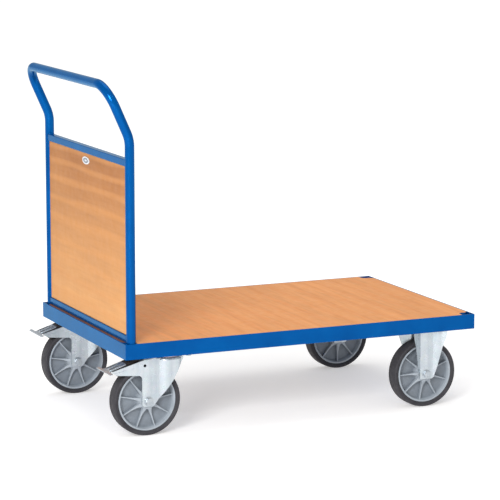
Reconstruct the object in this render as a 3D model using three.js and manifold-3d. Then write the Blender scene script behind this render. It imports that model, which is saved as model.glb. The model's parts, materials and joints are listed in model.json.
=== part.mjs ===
// Flatbed platform truck with one high end frame, two swivelling and two fixed casters.
// Millimetres, +Z up, +X along the platform towards the free end, +Y across it.
// The origin is on the floor under the middle of the overall bounding box.
import * as THREE from 'three';
import { mergeVertices } from 'three/addons/utils/BufferGeometryUtils.js';
import Module from 'manifold-3d';

const wasm = await Module();
wasm.setup();

// ---------- driving dimensions ----------
const GAP = 0.3;                 // clearance between touching pieces
const FRAME_L = 1100;            // platform frame, outside length
const FRAME_W = 692;             // platform frame, outside width
const FRAME_TOP = 273;           // top edge of the rails
const FRAME_BOT = 229;           // bottom edge of the rails
const WEB = 3.5;                 // rail sheet thickness
const LEDGE_W = 28;              // board ledge width
const LEDGE_T = 3.5;             // board ledge thickness
const BOARD_T = 15;              // deck board thickness
const CORNER_CUT = 37;           // 45 degree line across each corner recess
const LINER_T = 2;               // steel lining between each corner recess and the board
const REBATE_X = 512;            // the board is stepped down a little outside this line at the handle end
const REBATE_D = 0.8;
const TUBE_R = 13.45;            // end frame tube, outside radius
const TUBE_RI = 11.15;           // end frame tube, inside radius
const POST_X = -527;             // end frame uprights, distance from the frame middle
const POST_Y = 328.6;
const POST_FOOT = 242;           // lower end of the uprights
const BEND_LOW_Z = 842;          // where the uprights start to lean back
const BAR_X = -594;              // centre line of the top bar
const BAR_Z = 992;
const R_LOW = 95;                // bend radii on the centre line
const R_TOP = 66;
const SQ = 20;                   // crossbar square tube
const SQ_T = 2;
const TOPRAIL_Z0 = 766;          // upper crossbar, lower face
const PANEL_T = 12;              // end panel thickness
const WHEEL_R = 100;
const WHEEL_Y = 289;             // wheel centre planes
const SWIVEL_AXLE = -66;         // axle trails the kingpin by this much
const KINGPIN_X = -406;
const FIXED_X = 406;
const LEG_IN = 26.7;             // fork legs, inner and outer faces from the wheel plane
const LEG_OUT = 30.5;
const CROWN_R = 45;
const CROWN_TOP = 221;
const PLATE_TOP = 235;           // top of the caster plates
const OX = 0.5 * (-(BAR_X - TUBE_R) - FRAME_L / 2);   // moves the box middle to X = 0

// ---------- solids ----------
function solid(geometry) {
  const g = geometry.index ? geometry.toNonIndexed() : geometry.clone();
  g.deleteAttribute('normal');
  g.deleteAttribute('uv');
  const m = mergeVertices(g, 1e-4);
  const pos = new Float32Array(m.attributes.position.array);
  let tri = Uint32Array.from(m.index.array);
  const keep = [];
  let vol = 0;
  for (let i = 0; i < tri.length; i += 3) {
    const [a, b, c] = [tri[i], tri[i + 1], tri[i + 2]];
    if (a === b || b === c || a === c) continue;
    keep.push(a, b, c);
    const A = [pos[3 * a], pos[3 * a + 1], pos[3 * a + 2]];
    const B = [pos[3 * b], pos[3 * b + 1], pos[3 * b + 2]];
    const C = [pos[3 * c], pos[3 * c + 1], pos[3 * c + 2]];
    vol += A[0] * (B[1] * C[2] - B[2] * C[1]) - A[1] * (B[0] * C[2] - B[2] * C[0]) + A[2] * (B[0] * C[1] - B[1] * C[0]);
  }
  tri = Uint32Array.from(keep);
  if (vol < 0) for (let i = 0; i < tri.length; i += 3) { const t = tri[i]; tri[i] = tri[i + 1]; tri[i + 1] = t; }
  return new wasm.Manifold(new wasm.Mesh({ numProp: 3, vertProperties: pos, triVerts: tri }));
}
const union = (...s) => s.reduce((a, b) => a.add(b));
const cut = (a, ...s) => s.reduce((x, y) => x.subtract(y), a);

function mesh(name, s, mat) {
  const o = s.getMesh();
  const g = new THREE.BufferGeometry();
  g.setAttribute('position', new THREE.BufferAttribute(new Float32Array(o.vertProperties), 3));
  g.setIndex(new THREE.BufferAttribute(new Uint32Array(o.triVerts), 1));
  const flat = g.toNonIndexed();
  flat.computeVertexNormals();
  const m = new THREE.Mesh(flat, mat.clone());
  m.name = name;
  return m;
}

function box(x0, x1, y0, y1, z0, z1) {
  return solid(new THREE.BoxGeometry(x1 - x0, y1 - y0, z1 - z0).translate((x0 + x1) / 2, (y0 + y1) / 2, (z0 + z1) / 2));
}
function shapeOf(pts) {
  return new THREE.Shape(pts.map((p) => new THREE.Vector2(p[0], p[1])));
}
// plan outline (x, y) raised from z0 to z1
function extZ(pts, z0, z1) {
  return solid(new THREE.ExtrudeGeometry(shapeOf(pts), { depth: z1 - z0, bevelEnabled: false }).translate(0, 0, z0));
}
// side outline (x, z) carried from y0 to y1
function extY(pts, y0, y1) {
  return solid(new THREE.ExtrudeGeometry(shapeOf(pts), { depth: y1 - y0, bevelEnabled: false }).rotateX(Math.PI / 2).translate(0, y1, 0));
}
function cylZ(r, z0, z1, x = 0, y = 0, seg = 24) {
  return solid(new THREE.CylinderGeometry(r, r, z1 - z0, seg).rotateX(Math.PI / 2).translate(x, y, (z0 + z1) / 2));
}
function cylY(r, y0, y1, x = 0, z = 0, seg = 24) {
  return solid(new THREE.CylinderGeometry(r, r, y1 - y0, seg).translate(x, (y0 + y1) / 2, z));
}
// profile (radius, height along the axis); closed rings repeat their first point
function latheY(pts, seg) {
  return solid(new THREE.LatheGeometry([...pts, pts[0]].map((p) => new THREE.Vector2(p[0], p[1])), seg));
}
function latheZ(pts, seg) {
  return solid(new THREE.LatheGeometry([...pts, pts[0]].map((p) => new THREE.Vector2(p[0], p[1])), seg).rotateX(Math.PI / 2));
}

// ---------- materials ----------
const std = (color, roughness, metalness) => new THREE.MeshStandardMaterial({ color, roughness, metalness });
const BLUE = std(0x005eac, 0.38, 0.1);
const BEECH = std(0xe8a470, 0.55, 0.0);
const ZINC = std(0xd6dee2, 0.35, 0.9);
const STEEL = std(0xc4ccd2, 0.3, 0.9);
const RIM = std(0x969ba5, 0.55, 0.0);
const TYRE = std(0x46444b, 0.75, 0.0);
const PAD = std(0x2a2624, 0.8, 0.0);
const BEARING = std(0x8a8f96, 0.4, 0.9);
const LABEL = std(0xbfe0f2, 0.35, 0.2);

const truck = new THREE.Group();
truck.position.set(OX, 0, 0);
const add = (name, s, mat, group = truck) => { const m = mesh(name, s, mat); group.add(m); return m; };

// ---------- platform frame ----------
const XO = FRAME_L / 2, XI = XO - WEB;
const YO = FRAME_W / 2, YI = YO - WEB;
const LEDGE_Z1 = FRAME_TOP - BOARD_T - GAP;
const LEDGE_Z0 = LEDGE_Z1 - LEDGE_T;
const CORNER = 40;               // corner socket size inside the webs

for (const [side, s] of [['near', -1], ['far', 1]]) {
  const web = box(-XO, XO, Math.min(s * YI, s * YO), Math.max(s * YI, s * YO), FRAME_BOT, FRAME_TOP);
  const l0 = s * (YI - LEDGE_W), l1 = s * (YI + 1);
  const ledge = box(-(XI - CORNER), XI - CORNER, Math.min(l0, l1), Math.max(l0, l1), LEDGE_Z0, LEDGE_Z1);
  add('side_rail_' + side, union(web, ledge), BLUE);
}
for (const [end, s] of [['handle', -1], ['free', 1]]) {
  const web = box(Math.min(s * XI, s * XO), Math.max(s * XI, s * XO), -(YI - GAP), YI - GAP, FRAME_BOT, FRAME_TOP);
  const l0 = s * (XI - LEDGE_W), l1 = s * (XI + 1);
  const ledge = box(Math.min(l0, l1), Math.max(l0, l1), -(YI - CORNER), YI - CORNER, LEDGE_Z0, LEDGE_Z1);
  add('end_rail_' + end, union(web, ledge), BLUE);
}
// the side ledges stop short of the end ledges at the corner sockets
// board outline with 45 degree corners and a round notch for each upright, set back by d at the corners
function boardShape(d, z0, z1) {
  const x = XI - GAP, y = YI - GAP, c = CORNER_CUT + d * Math.SQRT2;
  const pts = [[x - c, y], [-x + c, y], [-x, y - c], [-x, -y + c], [-x + c, -y], [x - c, -y], [x, -y + c], [x, y - c]];
  let s = extZ(pts, z0, z1);
  for (const sx of [-1, 1]) for (const sy of [-1, 1]) {
    s = cut(s, cylZ(TUBE_R + 0.9 + d, z0 - 1, z1 + 1, sx * Math.abs(POST_X), sy * POST_Y, 20));
  }
  return s;
}
// corner sockets: an upper plate with a hole for the upright, a lower seat, and a 45 degree wall
for (const [end, sx] of [['handle', -1], ['free', 1]]) {
  for (const [side, sy] of [['near', -1], ['far', 1]]) {
    const xw = XI - GAP, yw = YI - GAP, c = CORNER - GAP;
    const outline = [[xw, yw], [xw, yw - c], [xw - c + 24, yw - c], [xw - c, yw - c + 24], [xw - c, yw]];
    const inner = [[xw + 1, yw + 1], [xw + 1, yw - c + 2.5], [xw - c + 25, yw - c + 2.5], [xw - c + 2.5, yw - c + 25], [xw - c + 2.5, yw + 1]];
    const map = (o) => { const p = o.map(([x, y]) => [sx * x, sy * y]); return sx * sy < 0 ? p.reverse() : p; };
    let s = extZ(map(outline), POST_FOOT - GAP - 3.5, LEDGE_Z1);
    s = cut(s,
      extZ(map(inner), POST_FOOT - GAP, LEDGE_Z0),
      cylZ(TUBE_R + GAP, LEDGE_Z0 - 1, LEDGE_Z1 + 1, sx * Math.abs(POST_X), sy * POST_Y, 16),
      cylZ(4.6, POST_FOOT - 6, POST_FOOT, sx * Math.abs(POST_X), sy * POST_Y, 12));
    // lining of the recess: stands on the upper plate, flush with the board
    const top = end === 'handle' ? FRAME_TOP - REBATE_D : FRAME_TOP - 0.1;
    const quarter = box(Math.min(sx * (xw - 60), sx * (xw + 5)), Math.max(sx * (xw - 60), sx * (xw + 5)),
      Math.min(sy * (yw - 60), sy * (yw + 5)), Math.max(sy * (yw - 60), sy * (yw + 5)), LEDGE_Z1 - 1, top);
    const lining = cut(boardShape(0, LEDGE_Z1 - 1, top).intersect(quarter), boardShape(LINER_T, LEDGE_Z1 - 2, top + 1));
    s = union(s, lining);
    add('corner_socket_' + end + '_' + side, s, BLUE);
  }
}
// cross members: wide shallow channels over the casters and a narrow one in the middle
const CM_T = 3;
for (const [name, xc, w] of [['handle', KINGPIN_X, 156], ['middle', 0, 60], ['free', FIXED_X, 156]]) {
  const z0 = PLATE_TOP + GAP, z1 = LEDGE_Z0 - GAP, ye = YI - GAP;
  const prof = box(xc - w / 2, xc + w / 2, -ye, ye, z0, z1);
  const hollow = box(xc - w / 2 + CM_T, xc + w / 2 - CM_T, -ye - 1, ye + 1, z0 + CM_T, z1 + 1);
  let s = cut(prof, hollow);
  if (name === 'handle') {
    s = cut(s, cylZ(16, z0 - 1, z0 + CM_T + 1, xc, -WHEEL_Y, 16), cylZ(16, z0 - 1, z0 + CM_T + 1, xc, WHEEL_Y, 16));
  }
  add('cross_member_' + name, s, BLUE);
}
// deck board with cut corners; the uprights pass through at the handle end, the same notches at the free end
{
  const x = XI - GAP, y = YI - GAP;
  let s = boardShape(LINER_T + GAP, FRAME_TOP - BOARD_T, FRAME_TOP);
  // shallow rebate under the end frame's lower crossbar
  s = cut(s, box(-x - 1, -REBATE_X, -y - 1, y + 1, FRAME_TOP - REBATE_D, FRAME_TOP + 1));
  add('deck_board', s, BEECH);
}

// ---------- end frame ----------
class BentPath extends THREE.Curve {
  constructor(points, tangents) { super(); this.p = points; this.t = tangents; }
  getPoint(u) { const k = u * (this.p.length - 1); const i = Math.min(Math.floor(k), this.p.length - 2); return this.p[i].clone().lerp(this.p[i + 1], k - i); }
  getTangent(u) { const k = Math.round(u * (this.p.length - 1)); return this.t[k].clone(); }
  getUtoTmapping(u) { return u; }
  getPointAt(u) { return this.getPoint(u); }
  getTangentAt(u) { return this.getTangent(u); }
  getSpacedPoints() { return this.p.map((v) => v.clone()); }
}
function arc(A, B, C, r, n) {     // fillet at B between A-B and B-C
  const d0 = B.clone().sub(A).normalize(), d1 = C.clone().sub(B).normalize();
  const ang = d0.angleTo(d1), len = r * Math.tan(ang / 2);
  const start = B.clone().addScaledVector(d0, -len);
  const side = d1.clone().addScaledVector(d0, -d0.dot(d1)).normalize();
  const pts = [], tan = [];
  for (let i = 0; i <= n; i++) {
    const a = ang * i / n;
    pts.push(start.clone().addScaledVector(d0, r * Math.sin(a)).addScaledVector(side, r * (1 - Math.cos(a))));
    tan.push(d0.clone().multiplyScalar(Math.cos(a)).addScaledVector(side, Math.sin(a)));
  }
  return [pts, tan];
}
{
  const foot = (s) => new THREE.Vector3(POST_X, s * POST_Y, POST_FOOT);
  const knee = (s) => new THREE.Vector3(POST_X, s * POST_Y, BEND_LOW_Z);
  const crnr = (s) => new THREE.Vector3(BAR_X, s * POST_Y, BAR_Z);
  const up = new THREE.Vector3(0, 0, 1);
  const [p1, t1] = arc(foot(-1), knee(-1), crnr(-1), R_LOW, 3);
  const [p2, t2] = arc(knee(-1), crnr(-1), crnr(1), R_TOP, 6);
  const half = [foot(-1), ...p1, ...p2], halfT = [up.clone(), ...t1, ...t2];
  const flip = (v) => new THREE.Vector3(v.x, -v.y, v.z);
  const back = half.slice().reverse().map(flip);
  const backT = halfT.slice().reverse().map((v) => new THREE.Vector3(-v.x, v.y, -v.z));
  const P = [...half, ...back], T = [...halfT, ...backT];
  const circle = (r, n) => shapeOf(Array.from({ length: n }, (_, i) => [r * Math.cos(2 * Math.PI * i / n), r * Math.sin(2 * Math.PI * i / n)]));
  const path = new BentPath(P, T);
  const outer = solid(new THREE.ExtrudeGeometry(circle(TUBE_R, 16), { steps: P.length - 1, extrudePath: path, bevelEnabled: false }));
  // the bore stops above a plug at each foot, and a small hole in the plug takes the bolt
  const PI = P.map((v) => v.clone());
  PI[0].z += 22; PI[PI.length - 1].z += 22;
  const inner = solid(new THREE.ExtrudeGeometry(circle(TUBE_RI, 10), { steps: PI.length - 1, extrudePath: new BentPath(PI, T), bevelEnabled: false }));
  add('handle_tube', cut(outer, inner,
    cylZ(4.3, POST_FOOT - 1, POST_FOOT + 30, POST_X, -POST_Y, 12),
    cylZ(4.3, POST_FOOT - 1, POST_FOOT + 30, POST_X, POST_Y, 12)), BLUE);
  for (const [side, s] of [['near', -1], ['far', 1]]) {
    add('upright_bolt_' + side, union(
      cylZ(7.2, POST_FOOT - 9.4, POST_FOOT - GAP - 3.5 - GAP, POST_X, s * POST_Y, 6),
      cylZ(4, POST_FOOT - 6, POST_FOOT + 18, POST_X, s * POST_Y, 12)), STEEL);
  }
  // crossbars: square tube with ends shaped to the uprights
  const posts = [cylZ(TUBE_R + GAP, 230, 860, POST_X, -POST_Y, 16), cylZ(TUBE_R + GAP, 230, 860, POST_X, POST_Y, 16)];
  for (const [name, z0] of [['panel_bottom_rail', FRAME_TOP - REBATE_D + GAP], ['panel_top_rail', TOPRAIL_Z0]]) {
    const bar = box(POST_X - SQ / 2, POST_X + SQ / 2, -POST_Y, POST_Y, z0, z0 + SQ);
    const bore = box(POST_X - SQ / 2 + SQ_T, POST_X + SQ / 2 - SQ_T, -POST_Y - 1, POST_Y + 1, z0 + SQ_T, z0 + SQ - SQ_T);
    add(name, cut(bar, bore, ...posts), BLUE);
  }
  // end panel between the crossbars and the uprights, on their middle plane
  const pz0 = FRAME_TOP - REBATE_D + GAP + SQ + GAP, pz1 = TOPRAIL_Z0 - GAP, pe = POST_Y - TUBE_R - 0.4;
  add('end_panel', box(POST_X - PANEL_T / 2, POST_X + PANEL_T / 2, -pe, pe, pz0, pz1), BEECH);
  // blank oval nameplate on the outer face
  const oval = Array.from({ length: 24 }, (_, i) => [27.5 * Math.cos(2 * Math.PI * i / 24), 11 * Math.sin(2 * Math.PI * i / 24)]);
  const face = POST_X - PANEL_T / 2 - GAP;
  const plate = solid(new THREE.ExtrudeGeometry(shapeOf(oval), { depth: 1.6, bevelEnabled: false })
    .applyMatrix4(new THREE.Matrix4().makeBasis(new THREE.Vector3(0, 1, 0), new THREE.Vector3(0, 0, 1), new THREE.Vector3(1, 0, 0)))
    .translate(face - 1.6, 0, 745));
  add('name_plate', plate, LABEL);
}

// ---------- casters ----------
// each caster is built about the axle (x = 0, z = WHEEL_R) in its wheel plane (y = 0)
function wheelParts(group, tag, ax, phase) {
  const N = 28;
  const g = new THREE.Group();
  g.position.set(ax, 0, WHEEL_R);
  group.add(g);
  // rim: hub, web and ring, with nine ribs on each side
  let rim = latheY([[15.3, -25], [15.3, 25], [22, 25], [27.5, 17], [27.5, 4], [73, 4], [75, 18], [85, 18], [85, -18], [75, -18], [73, -4], [27.5, -4], [27.5, -17], [22, -25]], N);
  for (let i = 0; i < 9; i++) {
    const rib = extY([[20, -1.9], [74.5, -1.5], [74.5, 1.5], [20, 1.9]], -15.5, 15.5);
    rim = rim.add(solidRotY(rib, phase + i * 40));
  }
  add('wheel_rim_' + tag, rim, RIM, g);
  add('tyre_' + tag, latheY([[85.5, -17], [85.5, 17], [90, 21.3], [96, 22.3], [99.3, 19], [100, 13], [100, -13], [99.3, -19], [96, -22.3], [90, -21.3]], N), TYRE, g);
  add('roller_bearing_' + tag, latheY([[10.7, -24.6], [10.7, 24.6], [14.9, 24.6], [14.9, -24.6]], 16), BEARING, g);
  return g;
}
function solidRotY(m, deg) {      // positive turns +x towards +z
  return m.rotate([0, -deg, 0]);
}
function axleParts(group, tag, ax) {
  const g = new THREE.Group();
  g.position.set(ax, 0, WHEEL_R);
  group.add(g);
  add('axle_sleeve_' + tag, latheY([[6.4, -LEG_IN + GAP], [6.4, LEG_IN - GAP], [10.2, LEG_IN - GAP], [10.2, -LEG_IN + GAP]], 16), STEEL, g);
  add('axle_bolt_' + tag, union(
    cylY(11, -LEG_OUT - GAP - 7.5, -LEG_OUT - GAP, 0, 0, 6),
    cylY(6, -LEG_OUT - 1, LEG_OUT + 13, 0, 0, 12)), STEEL, g);
  add('axle_nut_' + tag, cut(cylY(11, LEG_OUT + GAP, LEG_OUT + GAP + 10, 0, 0, 6), cylY(6.3, LEG_OUT - 2, LEG_OUT + 14, 0, 0, 12)), STEEL, g);
  return g;
}
const PLATE = [[-70, -48], [-65, -53], [65, -53], [70, -48], [70, 48], [65, 53], [-65, 53], [-70, 48]];

function fixedCaster(tag, y, phase) {
  const g = new THREE.Group();
  g.position.set(FIXED_X, y, 0);
  truck.add(g);
  // pressed bracket: a flat middle strip and wings flared outwards on each leg, trimmed to a taper
  const prof = [[-19, 85], [19, 85], [23, 90], [31, 120], [43, 180], [52, 212], [54.5, 233], [-54.5, 233], [-52, 212], [-43, 180], [-31, 120], [-23, 90]];
  const c = 21, fl = 0.80;
  const leg = (s) => {
    const half = [[0, LEG_IN], [c - 0.5, LEG_IN], [c + 38, LEG_IN + 38.5 * fl - 1], [c + 38, LEG_OUT + 38 * fl], [c, LEG_OUT + 0.2], [0, LEG_OUT + 0.2]];
    const ring = [...half, ...half.slice(1, -1).reverse().map(([x, yy]) => [-x, yy])];
    const p = ring.map(([x, yy]) => [x, s * yy]);
    return extZ(s < 0 ? p.reverse() : p, 84, 233);
  };
  const trim = extY(prof, -60, 60);
  let bracket = union(leg(-1).intersect(trim), leg(1).intersect(trim), extZ(PLATE, PLATE_TOP - 4.5, PLATE_TOP));
  // the wings reach a little under the side rails, and tuck in beside the plate above them
  for (const s of [-1, 1]) {
    const o = (d) => [Math.min(s * d, s * 75), Math.max(s * d, s * 75)];
    bracket = cut(bracket, box(-80, 80, ...o(56.6), 80, 240), box(-80, 80, ...o(53), FRAME_BOT - GAP, 240));
  }
  bracket = cut(bracket, cylY(6.4, -60, 60, 0, WHEEL_R, 12));
  add('fixed_bracket_' + tag, bracket, ZINC, g);
  axleParts(g, tag, 0);
  wheelParts(g, tag, 0, phase);
}

function swivelCaster(tag, y, phase) {
  const g = new THREE.Group();
  g.position.set(KINGPIN_X, y, 0);
  truck.add(g);
  add('top_plate_' + tag, cut(extZ(PLATE, PLATE_TOP - 5, PLATE_TOP), cylZ(8.3, PLATE_TOP - 6, PLATE_TOP + 1, 0, 0, 16)), ZINC, g);
  // kingpin: riveted head above the plate, shank, collar below the crown
  add('kingpin_' + tag, latheZ([[0.01, 204.5], [12, 204.5], [13.5, 207], [13.5, 214.5], [7.9, 214.5], [7.9, PLATE_TOP + 0.3], [12.5, PLATE_TOP + 0.3], [11, PLATE_TOP + 5], [0.01, PLATE_TOP + 5]].map(([r, z]) => [r === 0.01 ? 0 : r, z]), 20), STEEL, g);
  add('ball_race_' + tag, latheZ([[17, CROWN_TOP + GAP], [26.5, CROWN_TOP + GAP], [29, CROWN_TOP + 3], [35, CROWN_TOP + 5], [36, PLATE_TOP - 5 - GAP], [17, PLATE_TOP - 5 - GAP]], 20), ZINC, g);
  // fork: flat legs with rear arms, a round crown wall ahead of them, all trimmed to one slanted front edge
  const a = SWIVEL_AXLE;
  const side = [[a - 19, 92], [a - 14, 86], [a + 13, 84.5], [a + 18.5, 89], [a + 68, 156], [a + 98, 204], [a + 104, 213], [a + 106, CROWN_TOP], [a + 8, CROWN_TOP],
    [a - 16, 218.5], [a - 108.5, 192.8], [a - 108.5, 190.2], [a - 92, 181], [a - 26, 174.5], [a - 21, 172], [a - 19, 168]];
  const legs = union(extY(side, -LEG_OUT, -LEG_IN), extY(side, LEG_IN, LEG_OUT));
  const sideFront = [[a + 18.5, 89], [a + 68, 156], [a + 98, 204], [a + 104, 214], [a + 112, 214], [a + 112, CROWN_TOP + 1], [a - 5, CROWN_TOP + 1], [a - 5, 89]];
  const disc = cylZ(CROWN_R, 84, CROWN_TOP, 0, 0, 24);
  const wall = cut(disc, cylZ(CROWN_R - 4, 83, CROWN_TOP - 5, 0, 0, 24), box(-60, 60, -LEG_IN - 0.02, LEG_IN + 0.02, 80, CROWN_TOP - 12), box(-60, -20, -LEG_IN - 0.02, LEG_IN + 0.02, 80, CROWN_TOP - 5)).intersect(extY(sideFront, -60, 60));
  const legsFlat = cut(legs, cylZ(CROWN_R - 4, 83, CROWN_TOP - 5, 0, 0, 24));
  const roof = cut(box(a - 14, 0, -LEG_OUT + 1, LEG_OUT - 1, CROWN_TOP - 5, CROWN_TOP), cylZ(10, 200, 230, 0, 0, 12));
  let fork = union(legsFlat, wall, roof);
  fork = cut(fork,
    cylZ(8.3, 190, 240, 0, 0, 16),
    box(36, 80, -60, 60, 80, 209),
    cylY(6.4, -60, 60, a, WHEEL_R, 12),
    cylY(4.3, -60, 60, a - 10.4, 203, 12),
    cylY(4.6, -60, 60, a - 48, 199, 12));
  add('fork_' + tag, fork, ZINC, g);
  axleParts(g, tag, a);
  wheelParts(g, tag, a, phase);
  // brake pedal: sloping tread plate with side flanges and a wide lip across its tip
  const zt = (x) => 193.5 + 0.325 * (x - (a - 116));
  const plateP = [[a - 123, zt(a - 123) - 3.15], [a - 36, zt(a - 36) - 3.15], [a - 36, zt(a - 36)], [a - 123, zt(a - 123)]];
  const flange = [[a - 106, zt(a - 106) - 1.5], [a - 88, 192], [a - 58, 189], [a - 40, 195.2], [a - 34, 197.2], [a - 36, zt(a - 36) - 1.5]];
  const lip = [[a - 124, zt(a - 124) - 2.6], [a - 115, zt(a - 115) - 2.6], [a - 115, zt(a - 115) + 0.2], [a - 124, zt(a - 124) + 0.2]];
  let pedal = union(extY(plateP, -22, 22), extY(flange, -22, -19), extY(flange, 19, 22), extY(lip, -56, 56));
  pedal = cut(pedal, cylY(4.6, -60, 60, a - 48, 199, 12),
    extY([[a - 104, 170], [a - 76, 170], [a - 76, 230], [a - 104, 230]], -15, -8),
    extY([[a - 104, 170], [a - 76, 170], [a - 76, 230], [a - 104, 230]], 8, 15));
  add('brake_pedal_' + tag, pedal, ZINC, g);
  add('pedal_pin_' + tag, cylY(4.1, -LEG_OUT + GAP, LEG_OUT - GAP, a - 48, 199, 16), STEEL, g);
  const zu = (x) => zt(x) - 3.15 - 0.3;
  add('brake_shoe_' + tag, extY([[a - 62.6, 183.1], [a - 79.5, 171.6], [a - 85, 178], [a - 76, zu(a - 76)], [a - 62, zu(a - 62)]], -15, 15), PAD, g);
}
swivelCaster('swivel_near', -WHEEL_Y, 8);
swivelCaster('swivel_far', WHEEL_Y, 10);
fixedCaster('fixed_near', -WHEEL_Y, 21);
fixedCaster('fixed_far', WHEEL_Y, 30);

export default truck;
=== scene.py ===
import json
import math
import random

import bmesh
import bpy
from mathutils import Matrix, Vector

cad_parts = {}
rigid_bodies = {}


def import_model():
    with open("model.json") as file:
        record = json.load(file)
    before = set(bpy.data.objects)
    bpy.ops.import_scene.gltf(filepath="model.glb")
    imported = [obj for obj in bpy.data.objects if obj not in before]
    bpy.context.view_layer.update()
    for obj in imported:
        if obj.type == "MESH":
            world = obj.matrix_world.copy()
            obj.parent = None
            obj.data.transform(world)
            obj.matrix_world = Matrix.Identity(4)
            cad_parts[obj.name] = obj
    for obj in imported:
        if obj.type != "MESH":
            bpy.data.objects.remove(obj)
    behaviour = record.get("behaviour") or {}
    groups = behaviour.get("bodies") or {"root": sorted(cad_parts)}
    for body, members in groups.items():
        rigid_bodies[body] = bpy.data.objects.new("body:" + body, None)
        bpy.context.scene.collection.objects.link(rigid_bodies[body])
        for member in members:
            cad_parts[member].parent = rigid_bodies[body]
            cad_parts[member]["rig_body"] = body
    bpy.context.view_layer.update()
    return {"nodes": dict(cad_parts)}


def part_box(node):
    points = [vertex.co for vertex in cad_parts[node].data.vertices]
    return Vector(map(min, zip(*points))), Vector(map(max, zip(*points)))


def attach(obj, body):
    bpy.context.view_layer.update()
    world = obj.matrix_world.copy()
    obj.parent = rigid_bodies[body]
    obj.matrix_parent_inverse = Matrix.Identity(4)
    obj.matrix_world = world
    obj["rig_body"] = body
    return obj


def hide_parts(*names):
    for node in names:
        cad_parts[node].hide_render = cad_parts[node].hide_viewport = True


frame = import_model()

random.seed(7)


def mid(node):
    a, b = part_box(node)
    return (a + b) / 2


# ------------------------------------------------------------------ reference points, in mm
KP = mid("kingpin_swivel_near")
OX = KP.x * 1000 + 406.0                      # frame middle to row origin
WY = abs(KP.y) * 1000
KX, FX = -406.0, 406.0
AX = -66.0                                    # swivel axle behind the kingpin
XO, XI, YO, YI = 550.0, 546.5, 346.0, 342.5
Z_TOP, Z_BOT = 273.0, 229.0
POST_X, POST_Y = -527.0, 328.6
LEG_IN, LEG_OUT = 26.7, 30.5
CROWN_TOP, PLATE_TOP = 221.0, 235.0


# ------------------------------------------------------------------ mesh helpers (millimetres)
def obj_from(bm, name):
    me = bpy.data.meshes.new(name)
    bm.normal_update()
    bm.to_mesh(me)
    bm.free()
    o = bpy.data.objects.new(name, me)
    bpy.context.scene.collection.objects.link(o)
    return o


def fillet(pts, r, n=5):
    """rounds the corners of a closed outline; r is one radius or a dict of index to radius"""
    out = []
    count = len(pts)
    for i, p in enumerate(pts):
        rad = r.get(i, 0.0) if isinstance(r, dict) else r
        p0, p1, p2 = Vector(pts[i - 1]), Vector(p), Vector(pts[(i + 1) % count])
        d0, d1 = (p0 - p1), (p2 - p1)
        l0, l1 = d0.length, d1.length
        if rad <= 0 or l0 < 1e-6 or l1 < 1e-6:
            out.append(tuple(p1))
            continue
        d0.normalize(); d1.normalize()
        ang = d0.angle(d1)
        if ang > math.pi - 0.02:
            out.append(tuple(p1))
            continue
        t = min(rad / math.tan(ang / 2), 0.48 * l0, 0.48 * l1)
        rr = t * math.tan(ang / 2)
        bis = (d0 + d1).normalized()
        c = p1 + bis * (rr / math.sin(ang / 2))
        a, b = p1 + d0 * t - c, p1 + d1 * t - c
        h0 = math.atan2(a.y, a.x)
        dh = (math.atan2(b.y, b.x) - h0 + math.pi) % (2 * math.pi) - math.pi
        m = max(1, min(n, int(math.degrees(abs(dh)) / 9) + 1))
        for k in range(m + 1):
            h = h0 + dh * k / m
            out.append((c.x + rr * math.cos(h), c.y + rr * math.sin(h)))
    return out


def prism(pts, a, b, axis, name="t", bevel=0.0, seg=2):
    bm = bmesh.new()
    place = {"x": lambda u, v, w: (w, u, v), "y": lambda u, v, w: (u, w, v), "z": lambda u, v, w: (u, v, w)}[axis]
    lo = [bm.verts.new(place(u, v, a)) for u, v in pts]
    hi = [bm.verts.new(place(u, v, b)) for u, v in pts]
    n = len(pts)
    bm.faces.new(lo)
    bm.faces.new(hi)
    for i in range(n):
        bm.faces.new((lo[i], lo[(i + 1) % n], hi[(i + 1) % n], hi[i]))
    bmesh.ops.recalc_face_normals(bm, faces=bm.faces)
    if bevel > 0:
        bevel_bm(bm, bevel, seg)
    return obj_from(bm, name)


def bevel_bm(bm, width, seg=2, angle=28):
    bm.normal_update()
    lim = math.radians(angle)
    edges = [e for e in bm.edges if len(e.link_faces) == 2 and e.calc_face_angle(0) > lim]
    if edges:
        bmesh.ops.bevel(bm, geom=edges, offset=width, offset_type="OFFSET", segments=seg, profile=0.5, affect="EDGES", clamp_overlap=True)


def box(x0, x1, y0, y1, z0, z1, name="t", bevel=0.0, seg=2):
    return prism([(x0, y0), (x1, y0), (x1, y1), (x0, y1)], z0, z1, "z", name, bevel, seg)


def lathe(profile, seg, axis="y", name="t", closed=True):
    """profile of (radius, height); closed rings join last to first; radius 0 points sit on the axis"""
    bm = bmesh.new()
    rings = []
    for r, h in profile:
        if r <= 1e-9:
            p = (0, h, 0) if axis == "y" else (0, 0, h)
            rings.append([bm.verts.new(p)])
        else:
            ring = []
            for k in range(seg):
                a = 2 * math.pi * k / seg
                c, s = r * math.cos(a), r * math.sin(a)
                ring.append(bm.verts.new((c, h, s) if axis == "y" else (c, s, h)))
            rings.append(ring)
    pairs = list(zip(rings, rings[1:])) + ([(rings[-1], rings[0])] if closed else [])
    for A, B in pairs:
        if len(A) == 1 and len(B) == 1:
            continue
        for k in range(seg):
            k2 = (k + 1) % seg
            if len(A) == 1:
                bm.faces.new((A[0], B[k2], B[k]))
            elif len(B) == 1:
                bm.faces.new((A[k], A[k2], B[0]))
            else:
                bm.faces.new((A[k], A[k2], B[k2], B[k]))
    bmesh.ops.recalc_face_normals(bm, faces=bm.faces)
    return obj_from(bm, name)


def cyl(r, a, b, cx=0.0, cz=0.0, axis="y", seg=48, name="t"):
    o = lathe([(0, a), (r, a), (r, b), (0, b)], seg, axis, name, closed=False)
    o.data.transform(Matrix.Translation((cx, 0, cz) if axis == "y" else (cx, cz, 0)))
    return o


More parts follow.
